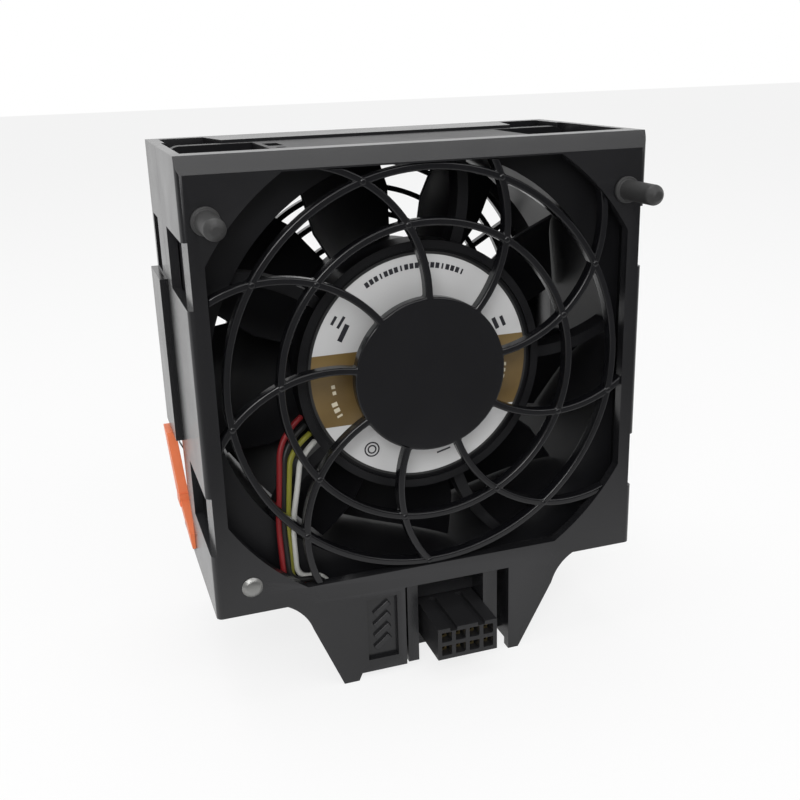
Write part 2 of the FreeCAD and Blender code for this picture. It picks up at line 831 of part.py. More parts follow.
# duct between the flanges: flat on the four sides, round in the open corners
duct_radius = S.fan_bore + S.duct_skin
duct_half = S.fan_size / 2
step_z = (duct_radius * duct_radius - S.roof_land * S.roof_land).root()
sketch = new_sketch(fan, "XZ_Plane", S.fan_start)
draw_outline(sketch, [
    (duct_half, -S.roof_land), (duct_half, S.roof_land),
    (step_z, S.roof_land), (S.roof_land, step_z, duct_radius, "left"),
    (S.roof_land, duct_half), (-S.roof_land, duct_half),
    (-S.roof_land, step_z), (-step_z, S.roof_land, duct_radius, "left"),
    (-duct_half, S.roof_land), (-duct_half, -S.roof_land),
    (-step_z, -S.roof_land), (-S.roof_land, -step_z, duct_radius, "left"),
    (-S.roof_land, -duct_half), (S.roof_land, -duct_half),
    (S.roof_land, -step_z), (step_z, -S.roof_land, duct_radius, "left"),
])
draw_circle(sketch, 0, 0, S.fan_bore)
pad(fan, sketch, S.fan_depth)
for flange_start in (S.fan_start, fan_end - S.fan_flange):
    sketch = new_sketch(fan, "XZ_Plane", flange_start)
    fan_half = S.fan_size / 2
    corner = S.fan_corner
    draw_outline(sketch, [
        (fan_half, -fan_half + corner),
        (fan_half, fan_half - corner),
        (fan_half - corner, fan_half, corner, "left"),
        (-fan_half + corner, fan_half),
        (-fan_half, fan_half - corner, corner, "left"),
        (-fan_half, -fan_half + corner),
        (-fan_half + corner, -fan_half, corner, "left"),
        (fan_half - corner, -fan_half),
        (fan_half, -fan_half + corner, corner, "left"),
    ][1:])
    draw_circle(sketch, 0, 0, S.fan_bore + 0.3)
    pad(fan, sketch, S.fan_flange)
for side_x in (-1, 1):
    for side_z in (-1, 1):
        sketch = new_sketch(fan, "XZ_Plane", S.fan_start - 1.0)
        draw_circle(sketch, hole_offset * side_x, hole_offset * side_z, S.fan_hole)
        pocket(fan, sketch, S.fan_depth + 2.0)

# shallow lead-clip slot and hole in the fan's upper flat
sketch = new_sketch(fan, "XY_Plane", duct_half - S.clip_depth)
draw_rectangle(sketch, -S.clip_across - S.clip_wide / 2, S.clip_start,
               -S.clip_across + S.clip_wide / 2, S.clip_start + S.clip_long)
pocket(fan, sketch, S.clip_depth * 2)
sketch = new_sketch(fan, "XY_Plane", duct_half - S.clip_depth)
draw_circle(sketch, -S.clip_across, S.clip_start - S.clip_wide * 1.5, S.clip_wide / 3)
pocket(fan, sketch, S.clip_depth * 2)

# ---------------------------------------------------------------- motor, standing parts

label_face = base_front - S.label_skin
turned("motor_label", [(ZERO, label_face), (S.label_radius, label_face),
                       (S.label_radius, base_front), (ZERO, base_front)], axis_z)

tube_start = base_front + S.base_skin
tube_end = tube_start + S.tube_length
front_bearing = tube_start + S.tube_step
rear_bearing = tube_end - S.bearing_width
tube_inner = S.bearing_radius - S.tube_shoulder
turned("bearing_tube", [
    (S.bearing_radius, tube_start),
    (tube_radius + S.tube_foot, tube_start),
    (tube_radius + S.tube_foot, tube_start + S.tube_step / 2),
    (tube_radius, tube_start + S.tube_step / 2),
    (tube_radius, tube_end),
    (S.bearing_radius, tube_end),
    (S.bearing_radius, rear_bearing),
    (tube_inner, rear_bearing),
    (tube_inner, front_bearing + S.bearing_width),
    (S.bearing_radius, front_bearing + S.bearing_width),
], axis_z)

for label, start in (("bearing_front", front_bearing), ("bearing_rear", rear_bearing)):
    bore = S.shaft_radius + S.shaft_fit
    end = start + S.bearing_width
    turned(label, [
        (bore, start), (S.bearing_radius - S.bearing_edge, start),
        (S.bearing_radius, start + S.bearing_edge), (S.bearing_radius, end), (bore, end),
    ], axis_z)

board_start = tube_start + S.tube_step / 2 + S.board_rise
turned("circuit_board", [
    (tube_radius + S.tube_fit, board_start), (S.board_radius, board_start),
    (S.board_radius, board_start + S.board_skin),
    (tube_radius + S.tube_fit, board_start + S.board_skin),
], axis_z)

# stator: a ring on the bearing tube with six teeth that end in wide shoes
stator_start = board_start + S.board_skin + S.winding_rise + S.board_rise
stator = new_body("stator_core", axis_z)
core_radius = tube_radius + S.stator_ring
sketch = new_sketch(stator, "XZ_Plane", stator_start)
draw_circle(sketch, 0, 0, core_radius)
draw_circle(sketch, 0, 0, tube_radius)
pad(stator, sketch, S.stator_length)
sketch = new_sketch(stator, "XZ_Plane", stator_start)
draw_rectangle(sketch, core_radius - 1.0, -S.tooth_width / 2,
               S.stator_radius - S.shoe_skin / 2, S.tooth_width / 2)
tooth = pad(stator, sketch, S.stator_length)
repeat(stator, tooth, S.pole_count)
shoe_in = S.stator_radius - S.shoe_skin
shoe_cos = S.shoe_angle.cosine()
shoe_sin = S.shoe_angle.sine()
sketch = new_sketch(stator, "XZ_Plane", stator_start)
draw_outline(sketch, [
    (S.stator_radius * shoe_cos, -S.stator_radius * shoe_sin),
    (S.stator_radius * shoe_cos, S.stator_radius * shoe_sin, S.stator_radius, "left"),
    (shoe_in * shoe_cos, shoe_in * shoe_sin),
    (shoe_in * shoe_cos, -shoe_in * shoe_sin, shoe_in, "right"),
])
shoe = pad(stator, sketch, S.stator_length)
repeat(stator, shoe, S.pole_count)

# one coil round each tooth: a rectangular ring, copied round the axis
coil_gap = 0.1
coil_start = core_radius.number + coil_gap
tooth_half = S.tooth_width.number / 2 + coil_gap
wire_build = S.winding_build.number
coil_end = math.sqrt(shoe_in.number ** 2 - (tooth_half + wire_build) ** 2) - coil_gap
rise = S.winding_rise.number
stator_y = stator_start.number
length = S.stator_length.number
outer = Part.makeBox(coil_end - coil_start, length + 2 * rise, 2 * (tooth_half + wire_build),
                     Vector(coil_start, stator_y - rise, -tooth_half - wire_build))
inner = Part.makeBox(coil_end - coil_start + 2, length + 2 * coil_gap, 2 * tooth_half,
                     Vector(coil_start - 1, stator_y - coil_gap, -tooth_half))
wedge_edges = [edge for edge in outer.Edges if edge.BoundBox.XLength > 1]
coil = outer.makeFillet(wire_build * 0.6, wedge_edges).cut(inner)
coils = []
for number in range(int(S.pole_count.number)):
    turn = coil.copy()
    turn.rotate(Vector(0, 0, 0), Vector(0, 1, 0), 360 / S.pole_count.number * number)
    turn.translate(Vector(0, 0, axis_z.number))
    coils.append(turn)
solid("stator_windings", Part.makeCompound(coils))

# ---------------------------------------------------------------- motor, turning parts

rotor_start = base_front + S.base_skirt + S.rotor_gap
magnet_in = S.stator_radius + S.air_gap
magnet_out = magnet_in + S.magnet_skin
yoke_out = magnet_out + S.yoke_skin
hub_out = yoke_out + S.hub_skin
rotor_end = rotor_start + S.hub_length
yoke_end = rotor_end - S.hub_skin
turned("magnet_ring", [
    (magnet_in, rotor_start + S.yoke_skin), (magnet_out, rotor_start + S.yoke_skin),
    (magnet_out, yoke_end - S.yoke_skin * 2), (magnet_in, yoke_end - S.yoke_skin * 2),
], axis_z)
boss_radius = S.shaft_radius + S.boss_skin
boss_start = tube_end + S.washer_rise
turned("rotor_yoke", [
    (magnet_out, rotor_start),
    (yoke_out, rotor_start),
    (yoke_out, yoke_end),
    (S.shaft_radius, yoke_end),
    (S.shaft_radius, boss_start),
    (boss_radius, boss_start),
    (boss_radius, yoke_end - S.yoke_skin),
    (magnet_out, yoke_end - S.yoke_skin),
], axis_z)
shaft_tip = base_front + S.base_skin + S.shaft_tip_gap
turned("shaft", [
    (ZERO, shaft_tip), (S.shaft_radius - 0.3, shaft_tip), (S.shaft_radius, shaft_tip + 0.3),
    (S.shaft_radius, yoke_end), (ZERO, yoke_end),
], axis_z)
turned("shaft_clip", [
    (S.shaft_radius, front_bearing - S.clip_gap - S.clip_skin),
    (S.shaft_radius + S.clip_width, front_bearing - S.clip_gap - S.clip_skin),
    (S.shaft_radius + S.clip_width, front_bearing - S.clip_gap),
    (S.shaft_radius, front_bearing - S.clip_gap),
], axis_z)
turned("preload_washer", [
    (S.shaft_radius, boss_start - S.washer_skin),
    (boss_radius, tube_end + S.washer_gap),
    (boss_radius, tube_end + S.washer_gap + S.washer_skin),
    (S.shaft_radius, boss_start),
], axis_z)

# impeller: a hub over the yoke and nine twisted blades lofted through three sections
impeller = new_body("impeller", axis_z)
spin(impeller, [
    (yoke_out, rotor_start), (hub_out - S.hub_chamfer, rotor_start),
    (hub_out, rotor_start + S.hub_chamfer),
    (hub_out, rotor_end - S.hub_chamfer), (hub_out - S.hub_chamfer, rotor_end),
    (ZERO, rotor_end), (ZERO, yoke_end), (yoke_out, yoke_end),
])
tip_radius = S.fan_bore - S.tip_gap
blade_start = rotor_start + (S.hub_length - S.blade_chord) / 2


def blade_section(body, radius, half_span, chord):
    """A cambered section: two arcs and blunt ends, across the plane at that radius."""
    sketch = new_sketch(body, "YZ_Plane", radius)
    edge = S.blade_skin / 4
    middle = blade_start + S.blade_chord / 2
    draw_outline(sketch, [
        (middle - chord / 2, half_span - edge),
        (middle - chord / 2 + edge, half_span),
        (middle + chord / 2, -half_span + edge, S.blade_back, "right"),
        (middle + chord / 2 - edge, -half_span),
        (middle - chord / 2, half_span - edge, S.blade_face, "left"),
    ][1:])
    return sketch


sections = [
    blade_section(impeller, S.blade_root_x, S.blade_root_half, S.blade_chord),
    blade_section(impeller, (S.blade_root_x + S.fan_bore) / 2, S.blade_mid_half,
                  S.blade_chord),
    blade_section(impeller, S.fan_bore + 0.5, S.blade_tip_half, S.blade_chord - 1.0),
]
loft = impeller.newObject("PartDesign::AdditiveLoft", "blade")
loft.Profile = sections[0]
loft.Sections = sections[1:]
loft.Ruled = True
document.recompute()
repeat(impeller, loft, S.blade_count)
spin(impeller, [
    (tip_radius, S.fan_start - 1.0), (S.fan_size, S.fan_start - 1.0),
    (S.fan_size, fan_end + 1.0), (tip_radius, fan_end + 1.0),
], "Groove")
spin(impeller, [
    (ZERO, S.fan_start), (yoke_out, S.fan_start), (yoke_out, yoke_end), (ZERO, yoke_end),
], "Groove")

# ---------------------------------------------------------------- pins and rivet

for label, side in (("guide_pin_left", -1), ("guide_pin_right", 1)):
    turned(label, [
        (ZERO, -S.pin_reach),
        (S.pin_radius * 0.45, -S.pin_reach),
        (S.pin_radius, -S.pin_reach + S.pin_nose),
        (S.pin_radius, -S.collar_skin),
        (S.pin_collar, -S.collar_skin),
        (S.pin_collar, ZERO),
        (S.pin_stem, ZERO),
        (S.pin_stem, S.plate),
        (S.pin_collar - 0.6, S.plate),
        (S.pin_stem - 0.6, S.plate + S.collar_skin),
        (ZERO, S.plate + S.collar_skin),
    ], floor_z + S.pin_up, S.pin_across * side)
grip_end = S.fan_start + S.fan_flange
turned("fan_rivet", [
    (ZERO, -S.rivet_dome), (S.rivet_head * 0.6, -S.rivet_dome * 0.85),
    (S.rivet_head, ZERO), (S.fan_hole, ZERO), (S.fan_hole, grip_end),
    (S.rivet_head, grip_end), (S.rivet_head * 0.6, grip_end + S.rivet_dome),
    (ZERO, grip_end + S.rivet_dome),
], axis_z - hole_offset, -hole_offset)

# ---------------------------------------------------------------- connector
# Eight-way receptacle in two rows, pushed through the bay's back wall against its flange.

connector = new_body("connector_housing")
connector_front = -S.connector_reach
connector_back = S.bay_depth + S.bay_back + S.connector_tail
sketch = new_sketch(connector, "XZ_Plane", connector_front)
draw_rectangle(sketch, S.connector_shift - connector_half, connector_low,
               S.connector_shift + connector_half, connector_high)
pad(connector, sketch, connector_back - connector_front)
sketch = new_sketch(connector, "XZ_Plane", S.bay_depth + S.bay_back)
draw_rectangle(sketch, S.connector_shift - connector_half - S.connector_lug,
               connector_low + S.connector_lug,
               S.connector_shift + connector_half + S.connector_lug,
               connector_high - S.connector_lug)
pad(connector, sketch, S.wall / 2)
contact_places = []
for column in (-1.5, -0.5, 0.5, 1.5):
    for line in (-0.5, 0.5):
        contact_places.append((S.connector_shift + S.contact_pitch * column,
                               floor_z - S.connector_drop + S.contact_pitch * line))
socket_half = S.contact_socket / 2
for socket_x, socket_z in contact_places:
    sketch = new_sketch(connector, "XZ_Plane", connector_front)
    draw_rectangle(sketch, socket_x - socket_half, socket_z - socket_half,
                   socket_x + socket_half, socket_z + socket_half)
    pocket(connector, sketch)
for groove_x in (-1, 1):
    sketch = new_sketch(connector, "XY_Plane", connector_high - S.groove_depth)
    middle = S.connector_shift + S.contact_pitch * groove_x
    draw_rectangle(sketch, middle - S.groove_width / 2, connector_front - 1.0,
                   middle + S.groove_width / 2, S.bay_depth - 1.0)
    pocket(connector, sketch, S.groove_depth * 2)

contact_half = S.contact_size.number / 2
contact_start = connector_front.number + S.contact_inset.number
contact_length = connector_back.number - 1.0 - contact_start
blades = []
for socket_x, socket_z in contact_places:
    tube = Part.makeBox(2 * contact_half, contact_length, 2 * socket_half.number, Vector(
        socket_x.number - contact_half, contact_start, socket_z.number - socket_half.number))
    slit = Part.makeBox(contact_half, contact_length * 0.6, 2 * socket_half.number, Vector(
        socket_x.number - contact_half / 2, contact_start - 0.1,
        socket_z.number - socket_half.number + 0.4))
    blades.append(tube.cut(slit))
solid("connector_contacts", Part.makeCompound(blades))

# ---------------------------------------------------------------- motor leads
# Four insulated leads from the motor base, round behind the front plate, through the
# floor slot and into the back of the connector.


LEAD_SIDES = 8  # the tube is an eight-sided prism, to keep its faces few


def lead(label, points, radius):
    """A tube of straight runs and tangent arcs through the route's points."""
    places = [Vector(*point) for point in points]
    edges = []
    reach_before = places[0]
    for before, here, after in zip(places, places[1:], places[2:]):
        incoming = (here - before)
        outgoing = (after - here)
        turn = incoming.getAngle(outgoing)
        shorter = min(incoming.Length, outgoing.Length)
        back = 0.45 * shorter
        first = here - incoming.normalize() * back
        last = here + outgoing.normalize() * back
        bisector = (first + last) * 0.5 - here
        bend = back / math.tan(turn / 2)
        centre = here + bisector.normalize() * math.hypot(bend, back)
        middle = centre + (here - centre).normalize() * bend
        edges.append(Part.LineSegment(reach_before, first).toShape())
        edges.append(Part.Arc(first, middle, last).toShape())
        reach_before = last
    edges.append(Part.LineSegment(reach_before, places[-1]).toShape())
    path = Part.Wire(edges)
    direction = (places[1] - places[0]).normalize()
    turn = Rotation(Vector(0, 0, 1), direction)
    corner = radius / math.cos(math.pi / LEAD_SIDES)
    corners = [places[0] + turn.multVec(Vector(
        corner * math.cos(2 * math.pi * side / LEAD_SIDES),
        corner * math.sin(2 * math.pi * side / LEAD_SIDES), 0)) for side in range(LEAD_SIDES)]
    ring = Part.makePolygon(corners + corners[:1])
    tube = path.makePipeShell([ring], True, False, 2)
    section = LEAD_SIDES * radius * radius * math.tan(math.pi / LEAD_SIDES)
    expected = section * path.Length
    print(label, "length", round(path.Length, 1), "volume ratio",
          round(tube.Volume / expected, 3))
    return solid(label, tube)


lead_y = (S.plate.number + S.fan_start.number) / 2
floor_up = floor_z.number
slot_x = -(S.lead_slot_left.number + S.lead_slot_right.number) / 2
LEADS = {
    # name: across at the base, at the plate's corner, in the slot; socket index
    "lead_red": (-41.5, -45.6, -2.0, 1),
    "lead_black": (-40.0, -43.6, 0.0, 3),
    "lead_yellow": (-38.4, -41.6, 2.0, 5),
    "lead_white": (-36.8, -39.6, 4.0, 7),
}
for number, (label, (base_x, corner_x, slot_shift, socket)) in enumerate(LEADS.items()):
    socket_x, socket_z = contact_places[socket]
    end_y = connector_back.number - 1.0
    base_angle = math.radians(193 + number * 5)
    start_r = S.base_radius.number + 0.4
    start_x = math.cos(base_angle) * start_r
    start_z = axis_z.number + math.sin(base_angle) * start_r
    lead(label, [
        (start_x, base_front.number + 1.6, start_z),
        (base_x - 0.6, lead_y + 2.6, floor_up + 46.5 - 2.2 * number),
        (corner_x + 1.6, lead_y + 0.4, floor_up + 34.0),
        (corner_x, lead_y, floor_up + 21.0),
        (corner_x + 1.0, lead_y, floor_up + 8.6 + 1.6 * number),
        (slot_x + slot_shift - 1.2, lead_y + 0.5, floor_up + 2.6 + 0.9 * number),
        (slot_x + slot_shift + 2.0, lead_y + 3.5, floor_up - 8.6 + 1.2 * number),
        (socket_x.number - 9.0, end_y + 3.6 + 1.9 * number, socket_z.number + 0.6 + 1.2 * number),
        (socket_x.number, end_y + 2.8 + 1.9 * number, socket_z.number + 0.2),
        (socket_x.number, end_y + 0.05, socket_z.number),
    ], S.lead_radius.number)

# ---------------------------------------------------------------- release latch
# Orange rocker on a pin: pressing the thumb tab in swings the lower arm out.

latch = new_body("release_latch")
latch_outer = -half_width - S.latch_gap - S.latch_skin
latch_low = floor_z + S.latch_foot
latch_high = floor_z + S.latch_top
tab_rear = S.module_depth - S.latch_set_in
sketch = new_sketch(latch, "XZ_Plane", S.front_depth)
draw_outline(sketch, [
    (latch_outer, latch_high),
    (latch_outer + S.latch_lean, latch_low),
    (latch_outer + S.latch_lean + S.latch_skin, latch_low),
    (latch_outer + S.latch_skin, latch_high),
])
pad(latch, sketch, tab_rear - S.front_depth)
thumb_front = tab_rear - S.thumb_length
arm_top = floor_z + S.latch_pivot_up
for corner in (
    [(S.front_depth - 1.0, latch_high + 1.0),
     (S.front_depth - 1.0, latch_low + S.arm_end),
     (S.front_depth, latch_low + S.arm_end),
     (thumb_front - S.arm_neck * 2, arm_top),
     (thumb_front - S.arm_neck, arm_top + S.arm_neck * 3),
     (thumb_front, latch_high),
     (thumb_front, latch_high + 1.0)],
    [(S.front_depth + S.arm_end, latch_low - 1.0),
     (S.front_depth + S.arm_end, latch_low),
     (tab_rear, arm_top - S.arm_neck / 2),
     (tab_rear + 1.0, arm_top - S.arm_neck / 2),
     (tab_rear + 1.0, latch_low - 1.0)],
):
    sketch = new_sketch(latch, "YZ_Plane", latch_outer - 1.0)
    draw_outline(sketch, corner)
    pocket(latch, sketch, S.latch_lean + S.latch_skin + 2.0)
sketch = new_sketch(latch, "XZ_Plane", barrel_start)
draw_rectangle(sketch, latch_outer + S.latch_skin / 2, pivot_z - S.latch_barrel * 0.8,
               pivot_x, pivot_z + S.latch_barrel * 0.8)
pad(latch, sketch, barrel_end - barrel_start)
sketch = new_sketch(latch, "XZ_Plane", barrel_start)
draw_circle(sketch, pivot_x, pivot_z, S.latch_barrel)
pad(latch, sketch, barrel_end - barrel_start)
sketch = new_sketch(latch, "XZ_Plane", barrel_start - 1.0)
draw_circle(sketch, pivot_x, pivot_z, S.latch_pin + S.latch_pin_fit)
pocket(latch, sketch, barrel_end - barrel_start + 2.0)

turned("latch_pin", [
    (ZERO, pin_start),
    (S.latch_pin, pin_start),
    (S.latch_pin, pin_end),
    (ZERO, pin_end),
], pivot_z, pivot_x)

# bent leaf spring between the shelf and the thumb tab: two legs and a round bend
leaf = new_body("latch_spring")
leaf_low = floor_z + S.spring_up - S.spring_rise / 2
leaf_high = leaf_low + S.spring_rise
leaf_bend = shelf_x - S.spring_bend
leaf_tip = latch_outer + S.latch_skin + S.spring_fit
sketch = new_sketch(leaf, "XZ_Plane", (barrel_start + barrel_end - S.spring_width) / 2)
draw_outline(sketch, [
    (shelf_x, leaf_low),
    (leaf_bend, leaf_low, S.spring_bend * 0.55, "right"),
    (leaf_tip, leaf_high),
    (leaf_tip + S.spring_skin, leaf_high),
    (leaf_bend + S.spring_skin, leaf_low),
    (shelf_x - S.spring_skin, leaf_low, S.spring_bend * 0.55 - S.spring_skin, "left"),
    (shelf_x - S.spring_skin, leaf_high),
    (shelf_x, leaf_high),
])
pad(leaf, sketch, S.spring_width)

# ---------------------------------------------------------------- checks and files

document.recompute()
for item in document.Objects:
    if "Invalid" in item.State or "Error" in item.State:
        raise RuntimeError(f"{item.Label} did not build: {item.State}")
os.makedirs("parts", exist_ok=True)
for label, item in parts.items():
    shape = item.Shape
    if shape.isNull() or not shape.isValid():
        raise RuntimeError(f"{label} has no valid shape")
    print(label, len(shape.Solids), round(shape.Volume, 1))
    shape.exportStep(f"parts/{label}.step")
print(len(parts), "nodes")
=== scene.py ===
import json
import math

import bpy
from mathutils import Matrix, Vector

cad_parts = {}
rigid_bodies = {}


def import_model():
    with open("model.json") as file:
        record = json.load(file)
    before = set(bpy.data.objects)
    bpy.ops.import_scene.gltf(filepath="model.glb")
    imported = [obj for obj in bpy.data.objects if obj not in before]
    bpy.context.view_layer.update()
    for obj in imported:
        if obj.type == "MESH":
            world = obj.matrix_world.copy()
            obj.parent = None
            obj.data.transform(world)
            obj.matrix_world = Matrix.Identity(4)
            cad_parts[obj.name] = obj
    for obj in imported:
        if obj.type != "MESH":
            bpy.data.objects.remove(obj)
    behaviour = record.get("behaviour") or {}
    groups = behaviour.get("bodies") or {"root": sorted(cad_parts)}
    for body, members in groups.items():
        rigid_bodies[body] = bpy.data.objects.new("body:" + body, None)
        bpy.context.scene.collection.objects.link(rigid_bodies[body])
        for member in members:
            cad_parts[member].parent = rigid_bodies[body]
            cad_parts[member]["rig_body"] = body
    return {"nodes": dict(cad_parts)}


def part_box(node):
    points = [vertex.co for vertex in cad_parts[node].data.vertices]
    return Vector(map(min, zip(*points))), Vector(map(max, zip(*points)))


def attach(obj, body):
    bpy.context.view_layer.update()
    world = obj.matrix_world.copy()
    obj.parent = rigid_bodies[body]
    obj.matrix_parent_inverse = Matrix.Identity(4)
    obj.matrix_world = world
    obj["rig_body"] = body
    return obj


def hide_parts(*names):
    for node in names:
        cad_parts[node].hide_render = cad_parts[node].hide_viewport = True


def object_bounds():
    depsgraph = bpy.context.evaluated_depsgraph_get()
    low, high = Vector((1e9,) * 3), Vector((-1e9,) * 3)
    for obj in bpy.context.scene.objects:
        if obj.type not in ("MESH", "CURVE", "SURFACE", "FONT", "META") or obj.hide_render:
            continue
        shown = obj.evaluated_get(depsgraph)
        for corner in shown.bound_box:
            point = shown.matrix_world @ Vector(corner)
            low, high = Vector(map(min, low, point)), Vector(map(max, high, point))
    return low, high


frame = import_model()
cad_low, cad_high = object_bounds()
scene = bpy.context.scene
MM = 0.001


# ---------------------------------------------------------------- camera
# A medium lens to the left of the module and a little above it, so that the
# front grille, the left wall and a sliver of the roof all show.
bpy.ops.object.select_all(action="DESELECT")
bpy.ops.object.camera_add(
    location=(-0.0902, -0.2438, 0.1692),
    rotation=(math.radians(71.44), math.radians(1.63), math.radians(-18.89)),
)
camera = bpy.context.object
camera.name = "camera"
camera.data.lens = 45.94
camera.data.clip_start = 0.01
camera.data.clip_end = 50.0
scene.camera = camera
scene.view_settings.view_transform = "Standard"


# ---------------------------------------------------------------- studio
# A white sweep under soft light: a pale floor, a white surround that black
# plastic mirrors at a glance, and soft boxes for the lines along the ribs.
bpy.ops.object.select_all(action="DESELECT")
bpy.ops.mesh.primitive_plane_add(size=8.0, location=(0, 0, cad_low.z))
floor = bpy.context.object
floor.name = "floor"


def new_material(name):
    """An empty node material and its tree, with only the output left in it."""
    material = bpy.data.materials.new(name)
    material.use_nodes = True
    tree = material.node_tree
    for node in [n for n in tree.nodes if n.type != "OUTPUT_MATERIAL"]:
        tree.nodes.remove(node)
    return material, tree, tree.nodes["Material Output"]


# paper that takes the shadow, lifted to white for the lens and for mirror rays
# behind the module, and falling dark in front for mirror rays alone
floor_paper, tree, output = new_material("floor_paper")
paper = tree.nodes.new("ShaderNodeBsdfDiffuse")
lift = tree.nodes.new("ShaderNodeEmission")
lift.inputs["Color"].default_value = (1, 1, 1, 1)
place = tree.nodes.new("ShaderNodeTexCoord")
split = tree.nodes.new("ShaderNodeSeparateXYZ")
tree.links.new(place.outputs["Object"], split.inputs[0])
front = tree.nodes.new("ShaderNodeMapRange")
front.inputs["From Min"].default_value = -0.045
front.inputs["From Max"].default_value = -0.17
tree.links.new(split.outputs["Y"], front.inputs["Value"])
behind = tree.nodes.new("ShaderNodeMapRange")
behind.inputs["From Min"].default_value = -0.12
behind.inputs["From Max"].default_value = 0.10
tree.links.new(split.outputs["Y"], behind.inputs["Value"])
seen = tree.nodes.new("ShaderNodeLightPath")
mirror = tree.nodes.new("ShaderNodeMath")
mirror.operation = "MULTIPLY"
tree.links.new(seen.outputs["Is Glossy Ray"], mirror.inputs[0])
tree.links.new(behind.outputs["Result"], mirror.inputs[1])
dim = tree.nodes.new("ShaderNodeMath")
dim.operation = "MULTIPLY"
tree.links.new(seen.outputs["Is Glossy Ray"], dim.inputs[0])
tree.links.new(front.outputs["Result"], dim.inputs[1])
sheet = tree.nodes.new("ShaderNodeMix")
sheet.data_type = "RGBA"
sheet.inputs["A"].default_value = (0.80, 0.80, 0.80, 1)
sheet.inputs["B"].default_value = (0.16, 0.16, 0.16, 1)
tree.links.new(dim.outputs[0], sheet.inputs["Factor"])
tree.links.new(sheet.outputs["Result"], paper.inputs["Color"])
share = tree.nodes.new("ShaderNodeMath")
share.operation = "MAXIMUM"
tree.links.new(seen.outputs["Is Camera Ray"], share.inputs[0])
tree.links.new(mirror.outputs[0], share.inputs[1])
amount = tree.nodes.new("ShaderNodeMath")
amount.operation = "MULTIPLY"
amount.inputs[1].default_value = 0.80
tree.links.new(share.outputs[0], amount.inputs[0])
both = tree.nodes.new("ShaderNodeMixShader")
tree.links.new(amount.outputs[0], both.inputs["Fac"])
tree.links.new(paper.outputs[0], both.inputs[1])
tree.links.new(lift.outputs[0], both.inputs[2])
tree.links.new(both.outputs[0], output.inputs["Surface"])
floor.data.materials.append(floor_paper)

world = bpy.data.worlds.new("studio")
scene.world = world
world.use_nodes = True
tree = world.node_tree
for node in list(tree.nodes):
    tree.nodes.remove(node)
output = tree.nodes.new("ShaderNodeOutputWorld")
room = tree.nodes.new("ShaderNodeBackground")
room.inputs["Strength"].default_value = 0.75
white = tree.nodes.new("ShaderNodeBackground")
white.inputs["Color"].default_value = (1, 1, 1, 1)
direction = tree.nodes.new("ShaderNodeTexCoord")
split = tree.nodes.new("ShaderNodeSeparateXYZ")
tree.links.new(direction.outputs["Generated"], split.inputs[0])
fade = tree.nodes.new("ShaderNodeMapRange")
fade.inputs["From Min"].default_value = -0.75
fade.inputs["From Max"].default_value = 0.05
fade.inputs["To Min"].default_value = 0.10
fade.inputs["To Max"].default_value = 1.0
tree.links.new(split.outputs["Y"], fade.inputs["Value"])
seen = tree.nodes.new("ShaderNodeLightPath")
mirrored = tree.nodes.new("ShaderNodeBackground")
mirrored.inputs["Color"].default_value = (1, 1, 1, 1)
tree.links.new(fade.outputs["Result"], mirrored.inputs["Strength"])
glossy = tree.nodes.new("ShaderNodeMixShader")
tree.links.new(seen.outputs["Is Glossy Ray"], glossy.inputs["Fac"])
tree.links.new(room.outputs[0], glossy.inputs[1])
tree.links.new(mirrored.outputs[0], glossy.inputs[2])
direct = tree.nodes.new("ShaderNodeMixShader")
tree.links.new(seen.outputs["Is Camera Ray"], direct.inputs["Fac"])
tree.links.new(glossy.outputs[0], direct.inputs[1])
tree.links.new(white.outputs[0], direct.inputs[2])
tree.links.new(direct.outputs[0], output.inputs["Surface"])


def soft_box(name, place, wide, high, watts):
    """An area lamp aimed at the middle of the module."""
    middle = (cad_low + cad_high) / 2
    aim = (middle - Vector(place)).to_track_quat("-Z", "Y").to_euler()
    bpy.ops.object.select_all(action="DESELECT")
    bpy.ops.object.light_add(type="AREA", location=place, rotation=aim)
    lamp = bpy.context.object
    lamp.name = name
    lamp.data.shape = "RECTANGLE"
    lamp.data.size = wide
    lamp.data.size_y = high
    lamp.data.energy = watts


soft_box("overhead_box", (-0.10, 0.15, 0.95), 0.60, 0.60, 3.0)
soft_box("front_box", (0.24, -0.68, 0.80), 1.10, 0.32, 2.8)
soft_box("rib_box", (-0.42, -0.80, 0.62), 0.42, 0.42, 4.6)


